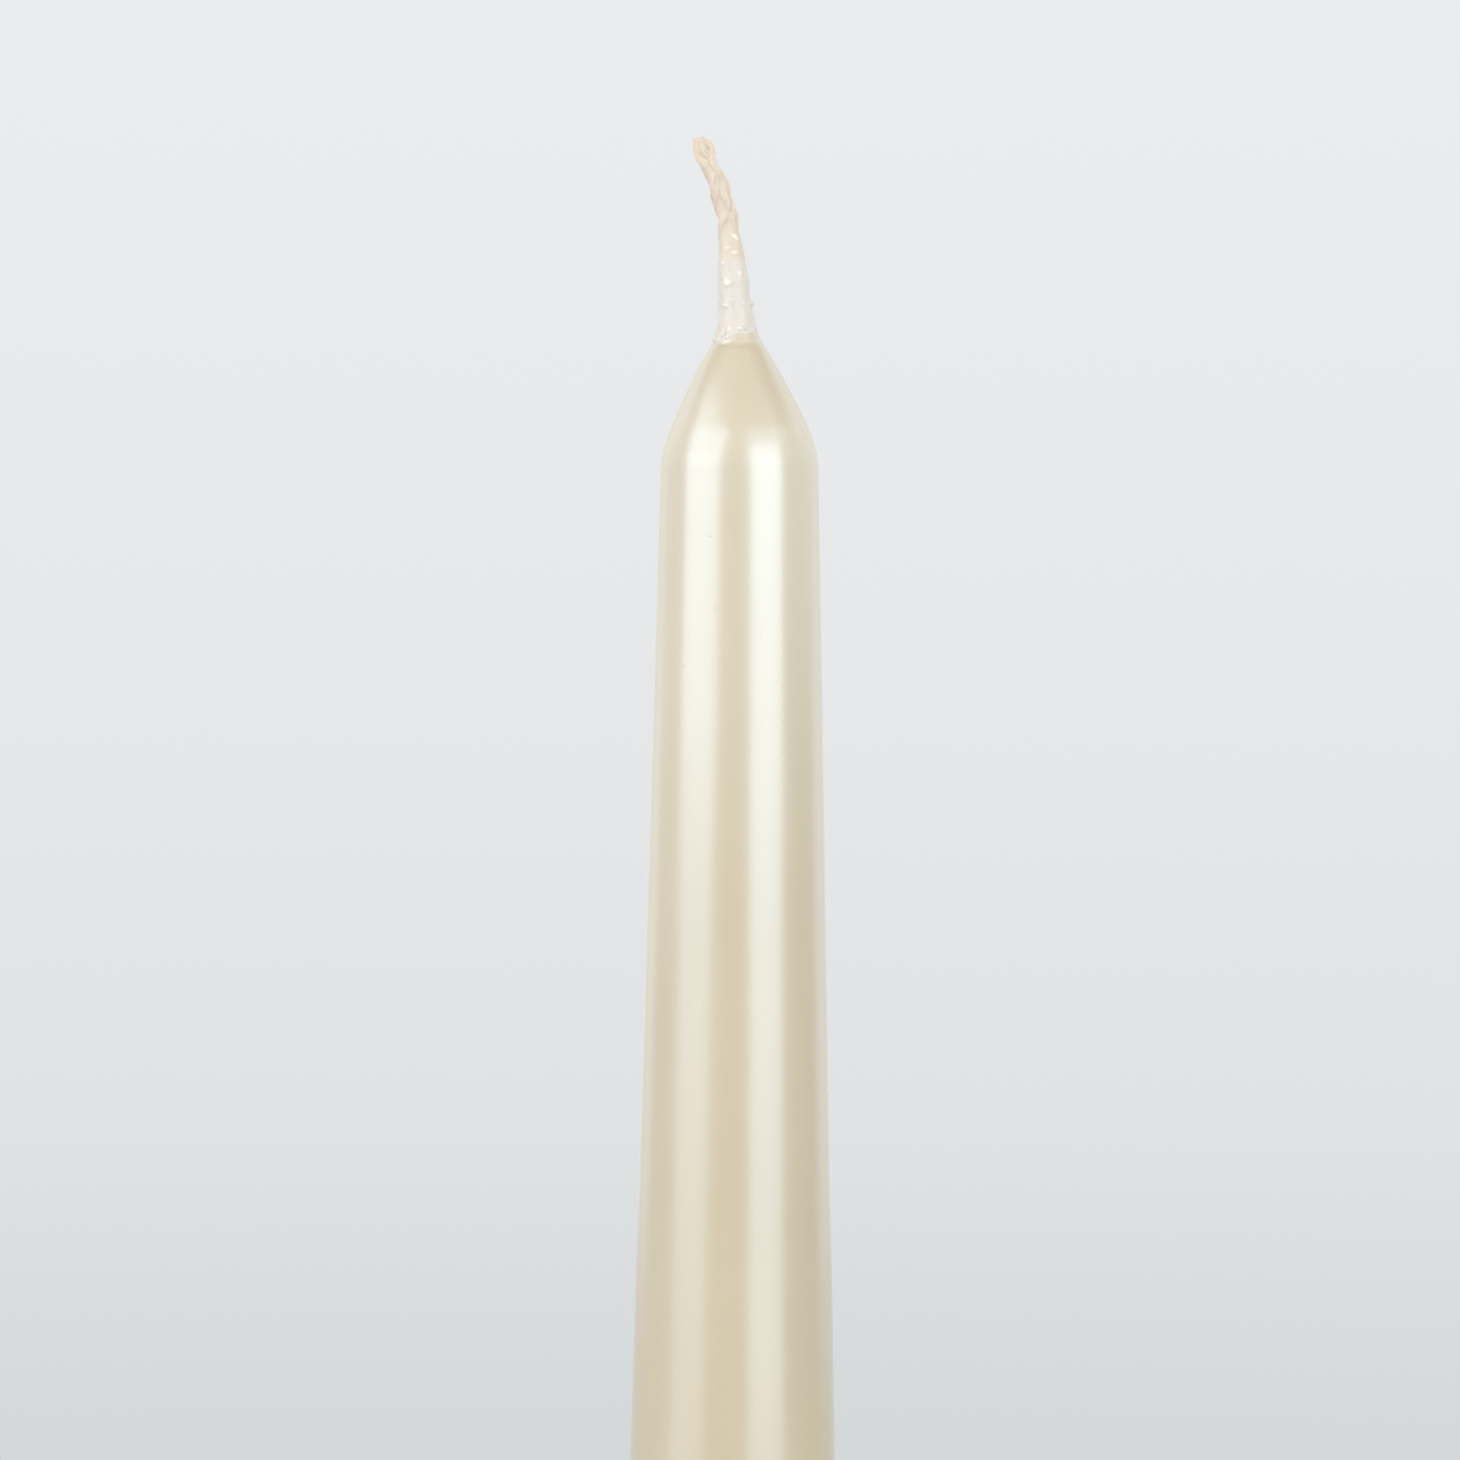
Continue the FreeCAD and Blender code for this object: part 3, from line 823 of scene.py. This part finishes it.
def markBeads(piece, places):  # the attribute holds a painted glint round each bead, 0 away from it
    mark = piece.data.attributes.new("paintedGlintBead", "FLOAT", "POINT")
    paintedGlintFull = waxBeads["paintedGlintFull"]
    for spot in piece.data.vertices:
        share = 0.0
        for place, turn, wide, tall, proud, degrees, paintedGlint in places:
            offset = spot.co / mm - place
            if offset.length < waxBeads["markReach"]:
                tilt = math.radians(degrees)
                x = offset.x * math.cos(turn) + offset.y * math.sin(turn)
                along = x * math.cos(tilt) - offset.z * math.sin(tilt)
                up = x * math.sin(tilt) + offset.z * math.cos(tilt)
                far = math.hypot(along / wide, up / tall)
                ragged = noise.noise(spot.co / (waxBeads["shineSize"] * mm))
                far += waxBeads["shineUneven"] * ragged
                near = 1 - ease((far - paintedGlintFull) / (waxBeads["shine"] - paintedGlintFull))
                share = max(share, paintedGlint * near)
        mark.data[spot.index].value = share


def makeClimbingWax():
    piece = makeSleeve()
    places = beadPlaces(piece)
    piece = joinPieces("climbingWax", [piece, *makeBeads(places)])
    fuse(piece, climbingWax["fuseGrain"], climbingWax["fuseRounds"])
    piece = dropScraps(piece)
    markBeads(piece, places)
    smoothFaces(piece, 80)
    return piece


waxSleeve = makeClimbingWax()
print("wax on the wick:", len(waxSleeve.data.polygons), "faces")


# Finishes
def startFinish(name):
    finish = bpy.data.materials.new(name)
    finish.use_nodes = True
    tree = finish.node_tree
    here = addNode(tree, "ShaderNodeTexCoord").outputs["Object"]
    return finish, tree, tree.nodes["Principled BSDF"], here


def setInputs(tree, node, values):  # another node's output is linked, a plain value is set
    for name, value in values.items():
        if isinstance(value, bpy.types.NodeSocket):
            tree.links.new(value, node.inputs[name])
        else:
            node.inputs[name].default_value = value


def addNode(tree, kind, inputs=None, **choices):
    node = tree.nodes.new(kind)
    for choice, value in choices.items():
        setattr(node, choice, value)
    setInputs(tree, node, inputs or {})
    return node


def calculate(tree, operation, *values):
    node = addNode(tree, "ShaderNodeMath", dict(enumerate(values)), operation=operation)
    return node.outputs["Value"]


def vectorStep(tree, operation, *values):
    return addNode(
        tree, "ShaderNodeVectorMath", dict(enumerate(values)), operation=operation).outputs


def objectNoise(tree, here, size, detail=2.0, stretch=(1, 1, 1)):
    mapping = addNode(tree, "ShaderNodeMapping", {"Vector": here, "Scale": stretch})
    grain = addNode(tree, "ShaderNodeTexNoise", {
        "Vector": mapping.outputs["Vector"], "Scale": 1 / (size * mm), "Detail": detail})
    return grain.outputs["Fac"]


def ramp(tree, source, stops):
    node = addNode(tree, "ShaderNodeValToRGB", {"Fac": source})
    node.color_ramp.elements.remove(node.color_ramp.elements[1])
    node.color_ramp.elements[0].position = stops[0][0]
    node.color_ramp.elements[0].color = (*stops[0][1], 1)
    for position, colour in stops[1:]:
        node.color_ramp.elements.new(position).color = (*colour, 1)
    return node.outputs["Color"]


def span(tree, source, fromLow, fromHigh, toLow, toHigh):
    node = addNode(tree, "ShaderNodeMapRange", {
        "Value": source, "From Min": fromLow, "From Max": fromHigh,
        "To Min": toLow, "To Max": toHigh})
    return node.outputs["Result"]


def mixColours(tree, share, under, over, way="MIX"):
    if not isinstance(over, bpy.types.NodeSocket):
        over = (*over, 1)
    inputs = {0: share, 6: under, 7: over}  # factor, colour A, colour B
    node = addNode(tree, "ShaderNodeMix", inputs, data_type="RGBA", blend_type=way)
    return node.outputs[2]


def bump(tree, height, distance, strength, under=None):
    inputs = {"Height": height, "Distance": distance * mm, "Strength": strength}
    if under is not None:
        inputs["Normal"] = under
    return addNode(tree, "ShaderNodeBump", inputs).outputs["Normal"]


pearl = {
    "light": (0.560, 0.438, 0.240),
    "deep": (0.528, 0.406, 0.216),
    "toneSize": 14.0,
    "sheenTint": (0.56, 0.79, 1.0),
    "index": 2.6,
    "roughLow": 0.278,
    "roughHigh": 0.302,
    "roughSize": 5.0,
    "gloss": 1.0,
    "glossRough": 0.18,
    "flakeSize": 0.22,
    "flakeShade": (0.985, 0.985, 0.98),
    "flakeBump": 0.0010,
    "skinSize": 2.6,
    "skinBump": 0.006,
    # faint nicks in the front, dented a little and darkened with painted shade: across, height,
    # half width, half height
    "nicks": [
        (-2.14, 234.75, 0.20, 0.06), (-1.73, 229.45, 0.08, 0.08), (-4.08, 225.15, 0.09, 0.12),
        (3.24, 223.70, 0.06, 0.10), (3.33, 221.20, 0.06, 0.09), (3.35, 218.90, 0.06, 0.09),
        (3.35, 217.95, 0.06, 0.09)],
    "nickPaintedShade": (0.46, 0.36, 0.18),
    "nickDepth": 0.01,
    "nickReach": 0.4,       # half its size along the view, so that the back has none
    "nickFull": 0.4,        # whole to here and gone at nickGone, in its own size
    "nickGone": 1.4,
}


def nickShare(tree, here):
    most = None
    for across, height, wide, tall in pearl["nicks"]:
        front = -math.sqrt(wallRadius(height) ** 2 - across ** 2)
        middle = Vector((across, front, height)) * mm
        sizes = [1 / (half * mm) for half in (wide, pearl["nickReach"], tall)]
        apart = vectorStep(tree, "SUBTRACT", here, middle)["Vector"]
        sized = vectorStep(tree, "MULTIPLY", apart, sizes)["Vector"]
        far = vectorStep(tree, "LENGTH", sized)["Value"]
        share = span(tree, far, pearl["nickFull"], pearl["nickGone"], 1.0, 0.0)
        if most is not None:
            share = calculate(tree, "MAXIMUM", most, share)
        most = share
    return most


def pearlLacquer():  # a warm base under a bluish sheen and a clear coat
    finish, tree, shader, here = startFinish("pearlLacquer")
    slow = objectNoise(tree, here, pearl["toneSize"], 3.0, (1, 1, 0.5))
    colour = ramp(tree, slow, [(0.35, pearl["deep"]), (0.65, pearl["light"])])
    flake = objectNoise(tree, here, pearl["flakeSize"], 1.0)
    speck = ramp(tree, flake, [(0.30, pearl["flakeShade"]), (0.62, (1, 1, 1))])
    colour = mixColours(tree, 1.0, colour, speck, "MULTIPLY")
    nick = nickShare(tree, here)
    # the nicks are darkened: painted shade in the pits
    colour = mixColours(tree, nick, colour, pearl["nickPaintedShade"])
    cloudy = objectNoise(tree, here, pearl["roughSize"], 3.0, (1, 1, 0.6))
    rough = span(tree, cloudy, 0.3, 0.7, pearl["roughLow"], pearl["roughHigh"])
    skin = objectNoise(tree, here, pearl["skinSize"], 2.0, (1, 1, 0.55))
    surface = bump(tree, skin, pearl["skinBump"], 1.0)
    surface = bump(tree, flake, pearl["flakeBump"], 0.6, surface)
    surface = bump(tree, nick, -pearl["nickDepth"], 1.0, surface)
    setInputs(tree, shader, {
        "Base Color": colour,
        "Roughness": rough,
        "Normal": surface,
        "IOR": pearl["index"],
        "Specular Tint": (*pearl["sheenTint"], 1),
        "Coat Weight": pearl["gloss"],
        "Coat Roughness": pearl["glossRough"]})
    return finish


bareWax = {
    "colour": (0.74, 0.68, 0.55),
    "worn": (0.66, 0.59, 0.46),
    "toneSize": 3.0,
    "cutSpacing": 0.55,     # marks of the knife
    "cutDepth": 0.02,
    "grainSize": 0.4,
    "rough": 0.52,
    "under": 1.7,           # it covers what lies lower than this and nearer the middle than within
    "within": 10.1,
}


def cutWax():  # the foot's underside, trimmed flat
    finish, tree, shader, here = startFinish("cutWax")
    cloudy = objectNoise(tree, here, bareWax["toneSize"], 4.0)
    colour = ramp(tree, cloudy, [(0.35, bareWax["worn"]), (0.65, bareWax["colour"])])
    bandUnit = 0.31  # spacing of the bands at a scale of 1
    strokes = addNode(tree, "ShaderNodeTexWave", {
        "Vector": here, "Scale": bandUnit / (bareWax["cutSpacing"] * mm),
        "Distortion": 1.6, "Detail": 2.0, "Detail Scale": 0.6},
        wave_type="BANDS", bands_direction="DIAGONAL")
    grain = objectNoise(tree, here, bareWax["grainSize"], 3.0)
    surface = bump(tree, strokes.outputs["Fac"], bareWax["cutDepth"], 0.7)
    surface = bump(tree, grain, bareWax["cutDepth"], 0.5, surface)
    setInputs(tree, shader, {
        "Base Color": colour, "Roughness": bareWax["rough"], "Normal": surface})
    return finish


frost = {
    "white": (0.625, 0.585, 0.525),     # low on the sleeve
    "cream": (0.612, 0.530, 0.420),     # the film above
    "filmFrom": 254.4,
    "filmFull": 257.0,
    "edgeSize": 0.9,
    "edgeUneven": 0.3,
    "warm": (0.650, 0.535, 0.430),      # patches
    "warmSize": 1.1,
    "warmMost": 0.6,
    "grey": (0.545, 0.530, 0.485),
    "greySize": 0.7,
    "greyMost": 0.5,
    # a lighter colour round the beads, a painted glint
    "paintedGlintBead": (0.800, 0.748, 0.668),
    "roughLow": 0.30,
    "roughHigh": 0.46,
    "roughSize": 0.5,
    "beadSmoother": 0.18,
    "skinSize": 0.28,
    "skinBump": 0.012,
    "index": 1.6,
    "milky": 0.25,
    "milkRadius": (1.0, 0.8, 0.6),
    "milkDepth": 0.4,
}


def frostyWax():  # wax on the wick: frosty below, a cream film above, with a painted glint round the beads
    finish, tree, shader, here = startFinish("frostyWax")
    split = addNode(tree, "ShaderNodeSeparateXYZ", {"Vector": here})
    climb = span(
        tree, split.outputs["Z"], frost["filmFrom"] * mm, frost["filmFull"] * mm, 0.0, 1.0)
    uneven = objectNoise(tree, here, frost["edgeSize"], 3.0)
    uneven = span(tree, uneven, 0.25, 0.75, -frost["edgeUneven"], frost["edgeUneven"])
    climb = calculate(tree, "ADD", climb, uneven)
    colour = ramp(tree, climb, [(0.25, frost["white"]), (0.85, frost["cream"])])
    warm = objectNoise(tree, here, frost["warmSize"], 2.0, (1, 1, 0.8))
    warm = span(tree, warm, 0.56, 0.70, 0.0, frost["warmMost"])
    colour = mixColours(tree, warm, colour, frost["warm"])
    dull = objectNoise(tree, here, frost["greySize"], 2.0, (1.3, 1.3, 0.9))
    dull = span(tree, dull, 0.58, 0.72, 0.0, frost["greyMost"])
    colour = mixColours(tree, dull, colour, frost["grey"])
    # round the beads the colour is lightened as a painted glint, and the wax is made smoother
    paintedGlintBead = addNode(tree, "ShaderNodeAttribute", attribute_name="paintedGlintBead").outputs["Fac"]
    colour = mixColours(tree, paintedGlintBead, colour, frost["paintedGlintBead"])
    rough = objectNoise(tree, here, frost["roughSize"])
    rough = span(tree, rough, 0.3, 0.7, frost["roughLow"], frost["roughHigh"])
    skin = objectNoise(tree, here, frost["skinSize"], 3.0)
    setInputs(tree, shader, {
        "Base Color": colour,
        "Roughness": calculate(tree, "MULTIPLY_ADD", paintedGlintBead, -frost["beadSmoother"], rough),
        "Normal": bump(tree, skin, frost["skinBump"], 0.8),
        "IOR": frost["index"],
        "Subsurface Weight": frost["milky"],
        "Subsurface Radius": frost["milkRadius"],
        "Subsurface Scale": frost["milkDepth"] * mm})
    return finish


cotton = {
    "cream": (0.668, 0.578, 0.468),
    "tan": (0.622, 0.532, 0.418),
    "toneSize": 0.24,
    "grey": (0.580, 0.528, 0.450),
    "greySize": 0.9,
    "greyMost": 0.55,
    "fibreSize": 0.14,
    "fibreBump": 0.005,
    "roughLow": 0.42,
    "roughHigh": 0.75,
    "roughSize": 0.6,
    "shine": 0.2,
    "fuzz": 0.06,
    "fuzzRough": 0.5,
}


def plaitCotton():
    finish, tree, shader, here = startFinish("plaitCotton")
    long = objectNoise(tree, here, cotton["toneSize"], 2.0, (1, 1, 0.22))
    colour = ramp(tree, long, [(0.30, cotton["tan"]), (0.60, cotton["cream"])])
    stain = objectNoise(tree, here, cotton["greySize"], 2.0, (1, 1, 0.5))
    stain = span(tree, stain, 0.55, 0.75, 0.0, cotton["greyMost"])
    colour = mixColours(tree, stain, colour, cotton["grey"])
    strands = objectNoise(tree, here, cotton["fibreSize"], 2.0, (1, 1, 0.12))
    rough = objectNoise(tree, here, cotton["roughSize"])
    rough = span(tree, rough, 0.3, 0.7, cotton["roughLow"], cotton["roughHigh"])
    setInputs(tree, shader, {
        "Base Color": colour,
        "Roughness": rough,
        "Normal": bump(tree, strands, cotton["fibreBump"], 0.6),
        "Specular IOR Level": cotton["shine"],
        "Sheen Weight": cotton["fuzz"],
        "Sheen Roughness": cotton["fuzzRough"]})
    return finish


def dress(piece, finish, node):
    piece.data.materials.append(finish)
    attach(piece, "root")
    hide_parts(node)


cottonYarn = plaitCotton()
dress(candleBody, pearlLacquer(), "wax_body")
candleBody.data.materials.append(cutWax())
for face in candleBody.data.polygons:
    middle = face.center / mm
    if middle.z < bareWax["under"] and math.hypot(middle.x, middle.y) < bareWax["within"]:
        face.material_index = 1
dress(waxSleeve, frostyWax(), "wax_body")
dress(plait, cottonYarn, "wick")
dress(wickCore, cottonYarn, "wick")
dress(looseFibres, cottonYarn, "wick")
print("finishes done")

# Studio
studio = {
    "floorRadius": 740.0,
    "floorDrop": 0.02,
    "floorInsets": (300, 250),
    "floorFadeFrom": 420,
    "floorFadeTo": 720,
    "floorColour": (0.60, 0.61, 0.62),
    "floorShade": 0.99,
    "floorGrain": 60.0,
    "fillColour": (0.97, 0.99, 1.0),
    "fill": 0.525,
    # backdrop by how far a ray looks up or down (sine of the angle)
    "backdrop": [
        (-0.172, (0.66, 0.685, 0.695)), (-0.095, (0.745, 0.76, 0.775)),
        (0.0, (0.785, 0.80, 0.815)), (0.172, (0.83, 0.84, 0.855))],
    "backdropReach": 0.2,
    # soft boxes by the angles they fill: left, right, lower, upper, then distance and radiance
    "boxes": {
        "leftBox": (-82, -28, 2, 22, 900, 1.93),
        "leftHigh": (-82, -28, 22, 49, 900, 1.38),
        "leftSkirt": (-75, -35, -12, 2, 900, 0.68),
        "rightBox": (15.8, 63, 1, 20, 900, 2.22),
        "rightHigh": (15.8, 63, 20, 31, 900, 1.62),
        "rightSkirt": (17.4, 58, -13, 1, 900, 1.28),
        "rightTop": (18, 62, 31, 47, 900, 0.58),
        "frontWall": (-32, 28, 2, 50, 1150, 0.50),
        "frontTop": (-60, 60, 50, 78, 1150, 0.35),
        "leftWall": (-120, -32, 2, 42, 1150, 0.48),
        "leftLow": (-120, -32, -14, 2, 1150, 0.17),
        "rightWall": (28, 116, 2, 42, 1150, 0.47),
        "leftRear": (-143, -120, -8, 42, 1150, 0.46),
        "leftBehind": (-180, -143, -8, 42, 1150, 0.17),
        "rightRear": (116, 143, -8, 42, 1150, 0.40),
        "rightBehind": (143, 180, -8, 42, 1150, 0.15)},
    "boxAim": 215.0,        # the height that they are turned to
}


def makeFloor():
    bpy.ops.object.select_all(action="DESELECT")
    bpy.ops.mesh.primitive_circle_add(
        vertices=128, radius=studio["floorRadius"] * mm, fill_type="NGON",
        location=(0, 0, -studio["floorDrop"] * mm))
    floor = bpy.context.object
    floor.name = "floor"
    openMesh(floor)
    for inset in studio["floorInsets"]:
        bpy.ops.mesh.inset(thickness=inset * mm)
    closeMesh()
    settle(floor)
    finish, tree, shader, here = startFinish("paleFloor")
    fade = span(tree, vectorStep(tree, "LENGTH", here)["Value"],
                studio["floorFadeFrom"] * mm, studio["floorFadeTo"] * mm, 1.0, 0.0)
    grain = objectNoise(tree, here, studio["floorGrain"], 3.0)
    shaded = [part * studio["floorShade"] for part in studio["floorColour"]]
    tone = ramp(tree, grain, [(0.3, shaded), (0.7, studio["floorColour"])])
    setInputs(tree, shader, {
        "Base Color": tone, "Alpha": fade, "Roughness": 0.8, "Specular IOR Level": 0.1})
    floor.data.materials.append(finish)


def makeBackdrop():
    world = bpy.data.worlds.new("backdrop")
    bpy.context.scene.world = world
    world.use_nodes = True
    tree = world.node_tree
    tree.nodes.clear()
    where = addNode(tree, "ShaderNodeTexCoord").outputs["Generated"]
    split = addNode(tree, "ShaderNodeSeparateXYZ", {"Vector": where})
    reach = studio["backdropReach"]
    climb = span(tree, split.outputs["Z"], -reach, reach, 0.0, 1.0)
    stops = [((sine + reach) / (2 * reach), colour) for sine, colour in studio["backdrop"]]
    seen = addNode(tree, "ShaderNodeBackground", {"Color": ramp(tree, climb, stops)})
    fill = addNode(tree, "ShaderNodeBackground", {
        "Color": (*studio["fillColour"], 1), "Strength": studio["fill"]})
    # cameras, glossy and see-through finishes see the backdrop, all else gets the fill
    ray = addNode(tree, "ShaderNodeLightPath").outputs
    sees = calculate(tree, "MAXIMUM", ray["Is Camera Ray"], ray["Is Glossy Ray"])
    sees = calculate(tree, "MAXIMUM", sees, ray["Is Transmission Ray"])
    choose = addNode(tree, "ShaderNodeMixShader", {
        0: sees, 1: fill.outputs["Background"], 2: seen.outputs["Background"]})
    addNode(tree, "ShaderNodeOutputWorld", {"Surface": choose.outputs["Shader"]})


def makeBoxes():
    aim = Vector((0, 0, studio["boxAim"] * mm))
    for name, choices in studio["boxes"].items():
        left, right, lower, upper, away, radiance = choices
        side = math.radians((left + right) / 2)
        lift = math.radians((lower + upper) / 2)
        wide = 2 * away * math.tan(math.radians((right - left) / 2))
        tall = 2 * away * math.tan(math.radians((upper - lower) / 2))
        heading = Vector((math.sin(side) * math.cos(lift), -math.cos(side) * math.cos(lift),
                          math.sin(lift)))
        bpy.ops.object.select_all(action="DESELECT")
        bpy.ops.object.light_add(type="AREA", location=aim + heading * away * mm)
        box = bpy.context.object
        box.name = name
        box.data.name = name
        box.rotation_euler = heading.to_track_quat("Z", "Y").to_euler()
        box.data.shape = "RECTANGLE"
        box.data.size = wide * mm
        box.data.size_y = tall * mm
        box.data.energy = radiance * math.pi * wide * mm * tall * mm
        box.visible_camera = False


photoView = {
    "place": (-0.58, -304.17, 220.53),
    "roll": -0.405,
    "lens": 100,
    "sensor": 36,
    "nearest": 10,
}


def makeCamera():  # level, and turned a little about its own view
    bpy.ops.object.select_all(action="DESELECT")
    bpy.ops.object.camera_add(location=[length * mm for length in photoView["place"]])
    camera = bpy.context.object
    camera.name = "photoCamera"
    camera.rotation_euler = (math.radians(90), math.radians(photoView["roll"]), 0)
    camera.data.lens = photoView["lens"]
    camera.data.sensor_width = photoView["sensor"]
    camera.data.clip_start = photoView["nearest"] * mm
    bpy.context.scene.camera = camera


makeFloor()
makeBackdrop()
makeBoxes()
makeCamera()
bpy.context.scene.view_settings.view_transform = "Standard"
print("studio ready")
